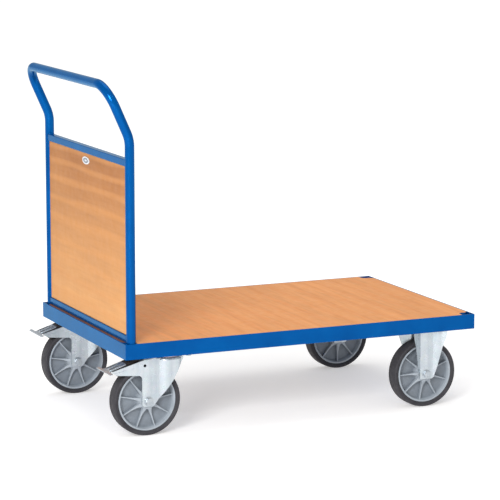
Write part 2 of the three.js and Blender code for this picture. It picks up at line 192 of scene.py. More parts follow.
def capsule_ring(r0, r1, y0, y1, e=0.6, n=3):
    """profile of a ring of rectangular section with rounded edges"""
    return fillet([(r0, y0), (r1, y0), (r1, y1), (r0, y1)], e, n)


def move(o, x=0.0, y=0.0, z=0.0):
    o.data.transform(Matrix.Translation((x, y, z)))
    return o


def turn(o, deg, axis, at=(0, 0, 0)):
    t = Vector(at)
    o.data.transform(Matrix.Translation(t) @ Matrix.Rotation(math.radians(deg), 4, axis) @ Matrix.Translation(-t))
    return o


def join(objs, name="t"):
    bm = bmesh.new()
    for o in objs:
        bm.from_mesh(o.data)
        bpy.data.objects.remove(o)
    return obj_from(bm, name)


def boolean(a, b, op="DIFFERENCE"):
    m = a.modifiers.new("b", "BOOLEAN")
    m.operation = op
    m.object = b
    was = (len(a.data.vertices), len(a.data.polygons))
    for solver in ("MANIFOLD", "EXACT"):
        m.solver = solver
        dg = bpy.context.evaluated_depsgraph_get()
        me = bpy.data.meshes.new_from_object(a.evaluated_get(dg))
        if len(me.vertices) and (len(me.vertices), len(me.polygons)) != was:
            break
    a.modifiers.clear()
    old = a.data
    a.data = me
    bpy.data.meshes.remove(old)
    bpy.data.objects.remove(b)
    return a


def cut(a, *cutters):
    for c in cutters:
        boolean(a, c, "DIFFERENCE")
    return a


def fuse(a, *others):
    for c in others:
        boolean(a, c, "UNION")
    return a


def tidy(o, dissolve=0.3, bevel=0.0, seg=2, angle=28):
    bm = bmesh.new()
    bm.from_mesh(o.data)
    bmesh.ops.remove_doubles(bm, verts=bm.verts, dist=1e-4)
    if dissolve:
        bmesh.ops.dissolve_limit(bm, angle_limit=math.radians(dissolve), verts=bm.verts, edges=bm.edges)
    if bevel:
        bevel_bm(bm, bevel, seg, angle)
    bm.normal_update()
    bm.to_mesh(o.data)
    bm.free()
    return o


def sweep(points, tangents, radius, seg=40, name="t", caps=True):
    bm = bmesh.new()
    t0 = tangents[0].normalized()
    u = Vector((1, 0, 0)) if abs(t0.x) < 0.9 else Vector((0, 1, 0))
    u = (u - t0 * u.dot(t0)).normalized()
    rings = []
    prev = t0
    for p, t in zip(points, tangents):
        t = t.normalized()
        ax = prev.cross(t)
        if ax.length > 1e-9:
            u = Matrix.Rotation(prev.angle(t), 3, ax.normalized()) @ u
        prev = t
        v = t.cross(u)
        rings.append([bm.verts.new(p + (u * math.cos(2 * math.pi * k / seg) + v * math.sin(2 * math.pi * k / seg)) * radius) for k in range(seg)])
    for A, B in zip(rings, rings[1:]):
        for k in range(seg):
            bm.faces.new((A[k], A[(k + 1) % seg], B[(k + 1) % seg], B[k]))
    if caps:
        bm.faces.new(rings[0])
        bm.faces.new(rings[-1])
    bmesh.ops.recalc_face_normals(bm, faces=bm.faces)
    return obj_from(bm, name)


def piece(o, name, mat, body, slot, nodes=(), at=(0, 0, 0), smooth=40, weighted=True):
    """moves a millimetre mesh to its place in the row frame and hands it over"""
    o.data.transform(Matrix.Translation(Vector(at) * 0.001) @ Matrix.Scale(0.001, 4))
    o.name = name
    o.data.name = name
    o.data.materials.clear()
    o.data.materials.append(mat)
    for p in o.data.polygons:
        p.use_smooth = True
        p.material_index = 0
    o.data.set_sharp_from_angle(angle=math.radians(smooth))
    if weighted:
        w = o.modifiers.new("wn", "WEIGHTED_NORMAL")
        w.keep_sharp = True
        w.weight = 60
    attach(o, body)
    if nodes:
        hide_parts(*nodes)
    return o


def clone(o, name="t"):
    c = bpy.data.objects.new(name, o.data.copy())
    bpy.context.scene.collection.objects.link(c)
    return c


# ------------------------------------------------------------------ materials
def srgb(r, g, b):
    f = lambda c: (c / 255) / 12.92 if c <= 10 else ((c / 255 + 0.055) / 1.055) ** 2.4
    return (f(r), f(g), f(b), 1.0)


class Mat:
    def __init__(self, name):
        self.m = bpy.data.materials.new(name)
        self.m.use_nodes = True
        self.t = self.m.node_tree
        self.b = self.t.nodes["Principled BSDF"]
        self.co = self.t.nodes.new("ShaderNodeTexCoord").outputs["Object"]
        self.bumps = None

    def node(self, kind, **kw):
        n = self.t.nodes.new(kind)
        for k, v in kw.items():
            setattr(n, k, v)
        return n

    def link(self, a, b):
        self.t.links.new(a, b)

    def scaled(self, s, rot=(0, 0, 0)):
        n = self.node("ShaderNodeMapping")
        n.inputs["Scale"].default_value = s
        n.inputs["Rotation"].default_value = rot
        self.link(self.co, n.inputs["Vector"])
        return n.outputs["Vector"]

    def noise(self, scale, detail=3.0, rough=0.55, vec=None, distortion=0.0):
        n = self.node("ShaderNodeTexNoise")
        n.inputs["Scale"].default_value = scale
        n.inputs["Detail"].default_value = detail
        n.inputs["Roughness"].default_value = rough
        n.inputs["Distortion"].default_value = distortion
        self.link(vec or self.co, n.inputs["Vector"])
        return n.outputs["Fac"]

    def voronoi(self, scale, vec=None, feature="F1", out="Distance"):
        n = self.node("ShaderNodeTexVoronoi", feature=feature)
        n.inputs["Scale"].default_value = scale
        self.link(vec or self.co, n.inputs["Vector"])
        return n.outputs[out]

    def ramp(self, fac, stops):
        n = self.node("ShaderNodeValToRGB")
        e = n.color_ramp.elements
        e[0].position, e[0].color = stops[0][0], stops[0][1]
        e[1].position, e[1].color = stops[-1][0], stops[-1][1]
        for p, c in stops[1:-1]:
            x = e.new(p)
            x.color = c
        self.link(fac, n.inputs["Fac"])
        return n.outputs["Color"]

    def value(self, fac, lo, hi, a=0.0, b=1.0):
        n = self.node("ShaderNodeMapRange")
        n.inputs["From Min"].default_value = a
        n.inputs["From Max"].default_value = b
        n.inputs["To Min"].default_value = lo
        n.inputs["To Max"].default_value = hi
        self.link(fac, n.inputs["Value"])
        return n.outputs["Result"]

    def mix(self, fac, a, b, mode="MIX"):
        n = self.node("ShaderNodeMix", data_type="RGBA", blend_type=mode)
        for sock, v in ((n.inputs[0], fac), (n.inputs[6], a), (n.inputs[7], b)):
            if isinstance(v, (float, int)):
                sock.default_value = v
            elif isinstance(v, tuple):
                sock.default_value = v
            else:
                self.link(v, sock)
        return n.outputs[2]

    def math(self, op, a, b=0.0):
        n = self.node("ShaderNodeMath", operation=op)
        for sock, v in ((n.inputs[0], a), (n.inputs[1], b)):
            if isinstance(v, (float, int)):
                sock.default_value = v
            else:
                self.link(v, sock)
        return n.outputs[0]

    def bump(self, height, strength, dist):
        n = self.node("ShaderNodeBump")
        n.inputs["Strength"].default_value = strength
        n.inputs["Distance"].default_value = dist
        self.link(height, n.inputs["Height"])
        if self.bumps:
            self.link(self.bumps, n.inputs["Normal"])
        self.bumps = n.outputs["Normal"]

    def done(self, color, rough, **kw):
        b = self.b
        for sock, v in (("Base Color", color), ("Roughness", rough)):
            if isinstance(v, (float, int, tuple)):
                b.inputs[sock].default_value = v
            else:
                self.link(v, b.inputs[sock])
        for k, v in kw.items():
            b.inputs[k.replace("_", " ")].default_value = v
        if self.bumps:
            self.link(self.bumps, b.inputs["Normal"])
        return self.m


def blue_paint():
    m = Mat("blue_powder_coat")
    base, deep, pale = srgb(0, 75, 142), srgb(0, 69, 134), srgb(0, 82, 150)
    c = m.ramp(m.noise(9, 4), [(0.3, deep), (0.5, base), (0.72, pale)])
    c = m.mix(m.value(m.noise(160, 3), 0.0, 0.22, 0.45, 0.8), c, srgb(0, 70, 137))
    # handling scuffs and fine dust
    scuff = m.value(m.noise(34, 6, 0.7, m.scaled((1.0, 1.0, 2.4))), 0.0, 0.10, 0.60, 0.78)
    c = m.mix(scuff, c, srgb(40, 110, 165))
    speck = m.value(m.voronoi(520), 0.08, 0.0, 0.0, 0.10)
    c = m.mix(speck, c, srgb(20, 105, 170))
    m.bump(m.noise(430, 2, 0.5), 0.08, 0.0004)
    m.bump(m.noise(70, 2, 0.5), 0.02, 0.0010)
    r = m.value(m.noise(55, 4), 0.13, 0.22, 0.3, 0.7)
    return m.done(c, r, Metallic=0.40, Specular_IOR_Level=0.12, Specular_Tint=(0.45, 0.92, 1.0, 1.0))


def wood(name, base, tone, across):
    """pale beech, its grain along Y; across is the other axis of the face"""
    m = Mat(name)
    s = lambda k: tuple(min(1.0, x * k) for x in base[:3]) + (1.0,)
    warm = tuple(min(1.0, x * y) for x, y in zip(base[:3], (0.97, 0.90, 0.82))) + (1.0,)
    broad = m.noise(5.0, 3, 0.5, m.scaled((2.2, 0.5, 2.2)))
    c = m.ramp(broad, [(0.28, s(0.92 * tone)), (0.5, s(1.0 * tone)), (0.72, s(1.06 * tone))])
    # painted shade: the deck darkens towards its handle end beside the end panel, and the panel darkens towards its top
    where = m.node("ShaderNodeSeparateXYZ")
    m.link(m.co, where.inputs[0])
    if across == "X":
        painted_shade_ramp = m.value(m.math("ADD", where.outputs["X"], m.value(m.noise(3.0, 2), -0.12, 0.12)), 0.42, 0.0, -0.42, -0.05)
    else:
        painted_shade_ramp = m.value(m.math("ADD", where.outputs["Z"], m.value(m.noise(3.0, 2), -0.10, 0.10)), 0.0, 1.0, 0.34, 0.74)
    dark = (0.72, 0.70, 0.66, 1.0) if across == "X" else (0.58, 0.48, 0.42, 1.0)
    k = 1.0 if across == "X" else 0.55
    c = m.mix(painted_shade_ramp, c, m.mix(1.0, c, dark, "MULTIPLY"))
    rings = m.node("ShaderNodeTexWave", wave_type="BANDS", bands_direction=across)
    rings.inputs["Scale"].default_value = 5.5
    rings.inputs["Distortion"].default_value = 6.0
    rings.inputs["Detail"].default_value = 3.0
    rings.inputs["Detail Scale"].default_value = 0.9
    m.link(m.scaled((1.0, 0.16, 1.0)), rings.inputs["Vector"])
    c = m.mix(m.value(rings.outputs["Fac"], 0.0, 0.80 * k, 0.50, 1.0), c, warm)
    streak = m.noise(1.0, 4, 0.6, m.scaled((95, 5.5, 95)))
    deep = m.mix(1.0, c, (0.80, 0.77, 0.74, 1.0), "MULTIPLY")
    c = m.mix(m.value(streak, 0.0, 0.60 * k, 0.50, 0.74), c, deep)
    c = m.mix(m.value(streak, 0.40 * k, 0.0, 0.28, 0.50), c, m.mix(1.0, c, (1.12, 1.14, 1.16, 1.0), "MULTIPLY"))
    fibre = m.noise(1.0, 5, 0.62, m.scaled((520, 16, 520)))
    c = m.mix(m.value(fibre, 0.0, 0.34, 0.52, 0.78), c, m.mix(1.0, c, (0.80, 0.78, 0.75, 1.0), "MULTIPLY"))
    c = m.mix(m.value(fibre, 0.18, 0.0, 0.22, 0.46), c, m.mix(1.0, c, (1.10, 1.12, 1.14, 1.0), "MULTIPLY"))
    fleck = m.voronoi(1.0, m.scaled((330, 48, 330)))
    keep = m.value(m.noise(26, 2), 0.0, 1.0, 0.42, 0.62)
    f = m.math("MULTIPLY", m.value(fleck, 0.45, 0.0, 0.05, 0.24), keep)
    c = m.mix(f, c, s(0.68 * tone))
    # plies show on the cut edges
    geo = m.node("ShaderNodeNewGeometry")
    sep = m.node("ShaderNodeSeparateXYZ")
    m.link(geo.outputs["Normal"], sep.inputs[0])
    flat_axis = "Z" if across == "X" else "X"
    flat = m.math("ABSOLUTE", sep.outputs[flat_axis])
    ply = m.node("ShaderNodeTexWave", wave_type="BANDS", bands_direction=flat_axis)
    ply.inputs["Scale"].default_value = 110.0
    ply.inputs["Distortion"].default_value = 0.6
    ply.inputs["Detail Scale"].default_value = 30.0
    m.link(m.co, ply.inputs["Vector"])
    edge = m.ramp(ply.outputs["Fac"], [(0.2, srgb(118, 72, 46)), (0.6, srgb(166, 112, 74)), (1.0, srgb(190, 138, 96))])
    c = m.mix(m.value(flat, 1.0, 0.0, 0.55, 0.85), c, edge)
    if across == "X":
        # painted shade: the board is darkened to a deep brown where it runs out under the end frame, beside the bottom
        # crossbar
        pos = m.node("ShaderNodeSeparateXYZ")
        m.link(m.co, pos.inputs[0])
        end_strip_shade = m.value(pos.outputs["X"], 1.0, 0.0, (OX - 514) / 1000, (OX - 511) / 1000)
        c = m.mix(end_strip_shade, c, m.ramp(streak, [(0.3, srgb(100, 66, 54)), (0.7, srgb(134, 92, 74))]))
    if across == "X":
        # the face turned to the ground carries a plain backing sheet
        back = m.ramp(m.noise(1.0, 4, 0.6, m.scaled((200, 24, 200))), [(0.3, srgb(146, 134, 124)), (0.7, srgb(166, 153, 141))])
        c = m.mix(m.value(sep.outputs["Z"], 1.0, 0.0, -0.85, -0.60), c, back)
    m.bump(fibre, 0.18, 0.00012)
    m.bump(m.noise(260, 2), 0.05, 0.0003)
    r = m.value(m.noise(40, 4), 0.42, 0.58, 0.3, 0.7)
    return m.done(c, r, Specular_IOR_Level=0.14)


def zinc(name, tint=(190, 198, 204), warm=0.05, streak=(130, 130, 4), metal=0.78):
    m = Mat(name)
    base = srgb(*tint)
    cool = srgb(tint[0] - 8, tint[1] - 6, tint[2] - 5)
    c = m.ramp(m.noise(30, 4, 0.5), [(0.3, cool), (0.55, base), (0.8, srgb(tint[0] + 5, tint[1] + 5, tint[2] + 4))])
    c = m.mix(m.value(m.noise(22, 3), 0.0, warm, 0.5, 0.75), c, srgb(208, 190, 162))
    c = m.mix(m.value(m.noise(31, 3, 0.5, m.scaled((1, 1, 1), (0.4, 0.2, 0.9))), 0.0, warm, 0.5, 0.8), c, srgb(160, 174, 204))
    spangle = m.voronoi(110, out="Color")
    c = m.mix(0.025, c, spangle, "OVERLAY")
    # fine upright streaks, partly marks left by the draw and partly painted reflection streaks; they also drive a light
    # bump
    draw_and_reflection_streak = m.noise(1.0, 3, 0.6, m.scaled(streak))
    c = m.mix(m.value(draw_and_reflection_streak, 0.0, 0.16, 0.45, 0.75), c, srgb(146, 156, 162))
    # broad upright bands on the pressings, darker and lighter, partly marks left by the draw and partly painted
    # reflection streaks
    bands = m.noise(1.0, 2, 0.5, m.scaled(tuple(k * 0.38 for k in streak)))
    c = m.mix(m.value(bands, 0.0, 0.26, 0.50, 0.68), c, srgb(140, 151, 158))
    c = m.mix(m.value(bands, 0.20, 0.0, 0.30, 0.46), c, srgb(214, 224, 224))
    m.bump(draw_and_reflection_streak, 0.03, 0.0002)
    m.bump(m.noise(340, 3), 0.03, 0.0001)
    r = m.value(m.noise(75, 4), 0.24, 0.36, 0.3, 0.7)
    return m.done(c, r, Metallic=metal)


def steel(name, tint, lo=0.22, hi=0.38):
    m = Mat(name)
    c = m.ramp(m.noise(120, 4), [(0.3, srgb(*[int(x * 0.86) for x in tint])), (0.7, srgb(*tint))])
    c = m.mix(m.value(m.noise(60, 3), 0.0, 0.14, 0.5, 0.8), c, srgb(206, 196, 160))
    m.bump(m.noise(900, 2), 0.08, 0.0001)
    return m.done(c, m.value(m.noise(140, 3), lo, hi, 0.3, 0.7), Metallic=0.85)


def rim_plastic():
    m = Mat("grey_rim_plastic")
    c = m.ramp(m.noise(28, 5, 0.6), [(0.3, srgb(143, 151, 159)), (0.55, srgb(155, 163, 171)), (0.8, srgb(165, 172, 180))])
    # painted shade: the pockets between the ribs, near the rim's mid-plane, are darkened by their depth
    pos = m.node("ShaderNodeSeparateXYZ")
    m.link(m.co, pos.inputs[0])
    depth = m.math("ABSOLUTE", m.math("SUBTRACT", m.math("ABSOLUTE", pos.outputs["Y"]), WY / 1000))
    pocket_shade = m.ramp(m.noise(60, 5, 0.6), [(0.3, srgb(104, 111, 119)), (0.7, srgb(119, 127, 136))])
    c = m.mix(m.value(depth, 0.92, 0.0, 0.0050, 0.0125), c, pocket_shade)
    dust = m.value(m.noise(80, 6, 0.7), 0.0, 0.18, 0.55, 0.8)
    c = m.mix(dust, c, srgb(168, 166, 164))
    flow = m.noise(1.0, 4, 0.6, m.scaled((120, 30, 120)))
    c = m.mix(m.value(flow, 0.0, 0.14, 0.5, 0.8), c, srgb(116, 121, 132))
    m.bump(m.noise(1500, 2), 0.12, 0.00008)
    m.bump(m.noise(140, 3), 0.05, 0.0003)
    return m.done(c, m.value(m.noise(60, 4), 0.40, 0.56, 0.3, 0.7), Specular_IOR_Level=0.4)


def tyre_rubber():
    m = Mat("grey_elastic_tyre")
    c = m.ramp(m.noise(36, 6, 0.65), [(0.3, srgb(50, 49, 53)), (0.55, srgb(57, 56, 60)), (0.8, srgb(66, 65, 69))])
    dust = m.value(m.noise(120, 6, 0.7), 0.0, 0.25, 0.55, 0.85)
    c = m.mix(dust, c, srgb(96, 93, 90))
    scuff = m.value(m.noise(1.0, 4, 0.7, m.scaled((260, 60, 260))), 0.0, 0.25, 0.62, 0.85)
    c = m.mix(scuff, c, srgb(38, 37, 40))
    m.bump(m.noise(900, 3), 0.22, 0.00012)
    m.bump(m.noise(190, 3), 0.12, 0.0003)
    return m.done(c, m.value(m.noise(70, 4), 0.55, 0.78, 0.3, 0.7), Specular_IOR_Level=0.22)


def rubber_pad():
    m = Mat("black_brake_rubber")
    c = m.ramp(m.noise(90, 5), [(0.3, srgb(28, 26, 25)), (0.7, srgb(52, 46, 42))])
    m.bump(m.noise(700, 3), 0.3, 0.0002)
    return m.done(c, m.value(m.noise(80, 3), 0.6, 0.85, 0.3, 0.7))


# dark coat of the lever body, which paints the shade under and behind the pedal tread
def painted_shade_coat():
    m = Mat("painted_shade_lever_body")
    c = m.ramp(m.noise(90, 5), [(0.3, srgb(34, 31, 32)), (0.7, srgb(54, 47, 45))])
    c = m.mix(m.value(m.noise(150, 5, 0.7), 0.0, 0.3, 0.62, 0.8), c, srgb(92, 84, 80))
    m.bump(m.noise(600, 3), 0.12, 0.0002)
    return m.done(c, m.value(m.noise(80, 3), 0.35, 0.55, 0.3, 0.7), Specular_IOR_Level=0.3)


def bearing():
    m = Mat("bearing_steel")
    c = m.ramp(m.noise(160, 4), [(0.3, srgb(96, 98, 102)), (0.7, srgb(140, 142, 146))])
    m.bump(m.noise(1.0, 2, 0.5, m.scaled((50, 900, 50))), 0.1, 0.0001)
    return m.done(c, m.value(m.noise(120, 3), 0.3, 0.5, 0.3, 0.7), Metallic=0.9)


def label():
    m = Mat("nameplate_enamel")
    c = m.ramp(m.noise(90, 3), [(0.3, srgb(192, 197, 202)), (0.7, srgb(208, 212, 216))])
    m.bump(m.noise(800, 2), 0.06, 0.0001)
    return m.done(c, m.value(m.noise(100, 3), 0.25, 0.4, 0.3, 0.7))


def label_field():
    m = Mat("nameplate_field")
    c = m.ramp(m.noise(70, 3), [(0.3, srgb(96, 104, 116)), (0.7, srgb(120, 128, 140))])
    m.bump(m.noise(900, 2), 0.06, 0.0001)
    return m.done(c, m.value(m.noise(100, 3), 0.25, 0.4, 0.3, 0.7))


BLUE = blue_paint()
DECK = wood("beech_deck", srgb(224, 154, 95), 1.0, "X")
PANEL = wood("beech_panel", srgb(205, 149, 93), 1.0, "Z")
ZINC = zinc("zinc_pressing")
ZINC_B = zinc("zinc_pedal", (186, 193, 200), 0.05, (40, 500, 60))
# ball race zinc: the rainbow tint of the passivation is real, but the pale pink, less metallic base is a painted
# highlight
ZINC_R = zinc("rainbow_zinc_painted_highlight", (226, 206, 218), 0.45, (200, 200, 900), 0.35)
BOLT = steel("zinc_bolt", (190, 198, 205), 0.28, 0.40)
SPRING = steel("spring_steel", (110, 104, 98), 0.3, 0.5)
RIM = rim_plastic()
TYRE = tyre_rubber()
PAD = rubber_pad()
BEAR = bearing()
LEVER_SHADE = painted_shade_coat()
LABEL = label()
FIELD = label_field()


# ------------------------------------------------------------------ platform
def at_frame(o, *a, **k):
    return piece(o, *a, at=(OX, 0, 0), **k)


def refine(node, mat, slot, bevel=0.5, dissolve=0.5):
    """a softened copy of a plain CAD solid"""
    src = frame["nodes"][node]
    me = src.data.copy()
    me.transform(Matrix.Scale(1000, 4))
    o = bpy.data.objects.new("t", me)
    bpy.context.scene.collection.objects.link(o)
    tidy(o, dissolve, bevel, 2, 40)
    return piece(o, node + "_v", mat, src["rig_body"], slot, [node])


for side, s in (("near", -1), ("far", 1)):
    y0, y1 = sorted((s * YI, s * YO))
    web = box(-XO, XO, y0, y1, Z_BOT, Z_TOP, bevel=0.7)
    l0, l1 = sorted((s * (YI - 28), s * (YI + 1)))
    ledge = box(-506.5, 506.5, l0, l1, 254.2, 257.7, bevel=0.6)
    at_frame(fuse(web, ledge), "side_rail_%s_v" % side, BLUE, "platform", "blue_paint", nodes=["side_rail_" + side])
for end, s in (("handle", -1), ("free", 1)):
    x0, x1 = sorted((s * XI, s * XO))
    web = box(x0, x1, -YI - 0.05, YI + 0.05, Z_BOT, Z_TOP, bevel=0.7)
    l0, l1 = sorted((s * (XI - 28), s * (XI + 1)))
    ledge = box(l0, l1, -302.5, 302.5, 254.2, 257.7, bevel=0.6)
    at_frame(fuse(web, ledge), "end_rail_%s_v" % end, BLUE, "platform", "blue_paint", nodes=["end_rail_" + end])
for end in ("handle", "free"):
    for side in ("near", "far"):
        refine("corner_socket_%s_%s" % (end, side), BLUE, "blue_paint", 0.0)
for n in ("handle", "middle", "free"):
    refine("cross_member_" + n, BLUE, "blue_paint", 0.5)

# deck board
CORNER_CUT, NOTCH_R, LINER_T = 37.0, 14.35, 2.0


def board_shape(d, z0, z1, bevel=0.0):
    x, y, c = XI - 0.3, YI - 0.3, CORNER_CUT + d * math.sqrt(2)
    o = prism([(x - c, y), (-x + c, y), (-x, y - c), (-x, -y + c), (-x + c, -y), (x - c, -y), (x, -y + c), (x, y - c)], z0, z1, "z", bevel=bevel)
    for sx in (-1, 1):
        for sy in (-1, 1):
            cut(o, cyl(NOTCH_R + d, z0 - 5, z1 + 5, sx * 527.0, sy * POST_Y, "z", 64))
    return o


deck = board_shape(LINER_T + 0.3, Z_TOP - 15, Z_TOP, 0.6)
cut(deck, box(-600, -512, -400, 400, Z_TOP - 0.8, 290))
tidy(deck)
at_frame(deck, "deck_board_v", DECK, "platform", "beech_board", nodes=["deck_board"])

# screws that hold the board, seen from below through the ledges
n = 0
for sy in (-1, 1):
    for xs in (-440, -220, 0, 220, 440):
        o = lathe([(0, -1.3), (1.6, -1.2), (1.8, -2.3), (3.4, -2.1), (4.5, -0.9), (4.7, 0.25), (0, 0.25)], 24, "z", closed=False)
        at_frame(move(o, xs + 60 * (abs(xs) > 400) * (1 if xs > 0 else -1) * -0.2, sy * (YI - 13), 254.2), "ledge_screw_%d" % n, BOLT, "platform", "bolt_steel")
        n += 1


# ------------------------------------------------------------------ end frame
def arc(A, B, C, r, n):
    d0, d1 = (B - A).normalized(), (C - B).normalized()
    ang = d0.angle(d1)
    start = B - d0 * (r * math.tan(ang / 2))
    side = (d1 - d0 * d0.dot(d1)).normalized()
    P, T = [], []
    for i in range(n + 1):
        a = ang * i / n
        P.append(start + d0 * (r * math.sin(a)) + side * (r * (1 - math.cos(a))))
        T.append(d0 * math.cos(a) + side * math.sin(a))
    return P, T


BAR_X, BAR_Z = -594.0, 992.0
TUBE_R = 13.45
foot, knee, corner, corner2 = Vector((POST_X, -POST_Y, 242)), Vector((POST_X, -POST_Y, 842)), Vector((BAR_X, -POST_Y, BAR_Z)), Vector((BAR_X, POST_Y, BAR_Z))
P1, T1 = arc(foot, knee, corner, 95, 14)
P2, T2 = arc(knee, corner, corner2, 66, 28)
half, halfT = [foot] + P1 + P2, [Vector((0, 0, 1))] + T1 + T2
flip = lambda v: Vector((v.x, -v.y, v.z))
P = half + [flip(v) for v in reversed(half)]
T = halfT + [Vector((-v.x, v.y, -v.z)) for v in reversed(halfT)]
tube = sweep(P, T, TUBE_R, 48)
for sy in (-1, 1):
    cut(tube, cyl(4.3, 240, 262, POST_X, sy * POST_Y, "z", 24))
at_frame(tube, "handle_tube_v", BLUE, "platform", "blue_paint", nodes=["handle_tube"])

for name, z0 in (("panel_bottom_rail", 272.5), ("panel_top_rail", 766.0)):
    sec = fillet([(POST_X - 10, z0), (POST_X + 10, z0), (POST_X + 10, z0 + 20), (POST_X - 10, z0 + 20)], 2.2, 4)
    bar = prism(sec, -POST_Y, POST_Y, "y")
    inn = fillet([(POST_X - 8, z0 + 2), (POST_X + 8, z0 + 2), (POST_X + 8, z0 + 18), (POST_X - 8, z0 + 18)], 1.0, 3)
    cut(bar, prism(inn, -POST_Y - 5, POST_Y + 5, "y"))
    for sy in (-1, 1):
        cut(bar, cyl(TUBE_R + 0.02, 200, 900, POST_X, sy * POST_Y, "z", 48))
    at_frame(tidy(bar), name + "_v", BLUE, "platform", "blue_paint", nodes=[name])
    # weld beads where the crossbar meets each upright
    for sy, tag in ((-1, "near"), (1, "far")):
        random.seed(int(z0) + sy)
        pts, tan = [], []
        # the bead follows the square tube's outline wrapped on the round upright
        ring = fillet([(POST_X - 10.2, z0 - 0.2), (POST_X + 10.2, z0 - 0.2), (POST_X + 10.2, z0 + 20.2), (POST_X - 10.2, z0 + 20.2)], 2.6, 6)
        fine = []
        for i in range(len(ring)):
            a, b = Vector(ring[i]), Vector(ring[(i + 1) % len(ring)])
            k = max(1, int((b - a).length / 1.6))
            fine += [a.lerp(b, j / k) for j in range(k)]
        pts = []
        for q in fine:
            dx = q.x - POST_X
            yy = POST_Y - math.sqrt(max(TUBE_R ** 2 - dx * dx, 1.0)) - 0.3
            pts.append(Vector((q.x, sy * yy, q.y)))
        m = len(pts)
        bm = bmesh.new()
        rings = []
        for i in range(m):
            t = (pts[(i + 1) % m] - pts[i - 1]).normalized()
            nrm = Vector((0, -sy, 0))
            side = t.cross(nrm).normalized()
            up = side.cross(t).normalized()
            rr = 1.7 + 0.25 * math.sin(i * 1.9) + random.uniform(-0.08, 0.08)
            rings.append([bm.verts.new(pts[i] + (side * math.cos(2 * math.pi * k / 10) + up * math.sin(2 * math.pi * k / 10)) * rr) for k in range(10)])
        for i in range(m):
            A, B = rings[i], rings[(i + 1) % m]
            for k in range(10):
                bm.faces.new((A[k], A[(k + 1) % 10], B[(k + 1) % 10], B[k]))
        bmesh.ops.recalc_face_normals(bm, faces=bm.faces)
        at_frame(obj_from(bm, "t"), "weld_%s_%s" % (name, tag), BLUE, "platform", "blue_paint")

for tag, sy in (("near", -1), ("far", 1)):
    hexa = [(7.2 * math.cos(math.pi / 3 * k), 7.2 * math.sin(math.pi / 3 * k)) for k in range(6)]
    head = prism([(u + POST_X, v + sy * POST_Y) for u, v in hexa], 232.7, 237.9, "z", bevel=0.4)
    washer = cyl(9.0, 236.4, 238.1, POST_X, sy * POST_Y, "z", 40)
    shank = cyl(4.0, 236.5, 259.5, POST_X, sy * POST_Y, "z", 24)
    at_frame(fuse(head, washer, shank), "upright_bolt_%s_v" % tag, BOLT, "platform", "bolt_steel", nodes=["upright_bolt_" + tag])

pb = [v * 1000 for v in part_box("end_panel")]
panel = box(POST_X - 6, POST_X + 6, pb[0].y, pb[1].y, pb[0].z, pb[1].z, bevel=0.9, seg=3)
at_frame(panel, "end_panel_v", PANEL, "platform", "beech_panel", nodes=["end_panel"])

# blank oval nameplate: rim, recessed field, two rivets
npz = mid("name_plate").z * 1000
face = POST_X - 6
ell = lambda a, b, n=72: [(a * math.cos(2 * math.pi * k / n), b * math.sin(2 * math.pi * k / n) + npz) for k in range(n)]
plate = prism(ell(27.5, 11), face - 1.9, face + 0.1, "x", bevel=0.35)
cut(plate, prism(ell(20.0, 7.4), face - 3, face - 1.5, "x"))
at_frame(plate, "name_plate_v", LABEL, "platform", "name_plate", nodes=["name_plate"])
at_frame(prism(ell(19.9, 7.3), face - 1.62, face - 1.2, "x", bevel=0.1), "name_plate_field", FIELD, "platform", "name_plate")
at_frame(prism(ell(9.5, 2.8), face - 1.85, face - 1.4, "x", bevel=0.15), "name_plate_boss", LABEL, "platform", "name_plate")
for k, sy in enumerate((-1, 1)):
    o = lathe([(0, -0.8), (0.8, -0.7), (1.3, -0.3), (1.5, 0.3), (0, 0.3)], 20, "z", closed=False)
    o.data.transform(Matrix.Rotation(math.radians(90), 4, "Y"))
    at_frame(move(o, face - 1.5, sy * 23.5, npz), "name_plate_rivet_%d" % k, BOLT, "platform", "bolt_steel")


# ------------------------------------------------------------------ wheels, modelled once about the axle
def rib():
    """one spoke rib from hub to ring, flared at the hub, thinner towards its crest"""
    prof = [(20, 24.0, 5.2), (24, 23.0, 4.9), (28, 20.3, 4.3), (33, 17.6, 3.4), (40, 15.6, 2.5), (50, 14.6, 1.8), (65, 14.2, 1.45), (78, 14.8, 1.5), (84, 15.8, 2.1)]
    bm = bmesh.new()
    rows = []
    for r, h, t in prof:
        base = t + 0.9
        rows.append([bm.verts.new((r, 1.0, -base)), bm.verts.new((r, h - 0.5, -t)), bm.verts.new((r, h - 0.12, -t + 0.5)), bm.verts.new((r, h, -t + 1.0 if t > 1.2 else 0.0)),
                     bm.verts.new((r, h, t - 1.0 if t > 1.2 else 0.01)), bm.verts.new((r, h - 0.12, t - 0.5)), bm.verts.new((r, h - 0.5, t)), bm.verts.new((r, 1.0, base))])
    for A, B in zip(rows, rows[1:]):
        for k in range(8):
            bm.faces.new((A[k], A[(k + 1) % 8], B[(k + 1) % 8], B[k]))
    bm.faces.new(rows[0])
    bm.faces.new(rows[-1])
    bmesh.ops.recalc_face_normals(bm, faces=bm.faces)
    return obj_from(bm, "rib")


halfp = [(15.25, 24.4), (15.7, 24.9), (21.2, 25.0), (22.2, 24.6), (23.4, 22.6), (25.0, 18.0), (27.2, 10.5), (28.4, 6.8), (30.4, 4.9), (33.5, 4.2), (70.0, 4.2), (74.6, 4.9), (77.2, 7.4),
         (79.2, 14.0), (80.4, 17.5), (81.2, 18.3), (82.4, 18.5), (84.6, 18.5), (85.6, 18.1), (86.0, 17.3)]
prof = halfp + [(r, -h) for r, h in reversed(halfp)]
rim = lathe(prof, 108, "y")
ribs = []
for k in range(9):
    for side in (0, 180):
        b = rib()
        if side:
            b.data.transform(Matrix.Rotation(math.radians(180), 4, "X"))
        b.data.transform(Matrix.Rotation(math.radians(-40 * k), 4, "Y"))
        ribs.append(b)
rim = fuse(rim, join(ribs))
tidy(rim, 0.05)

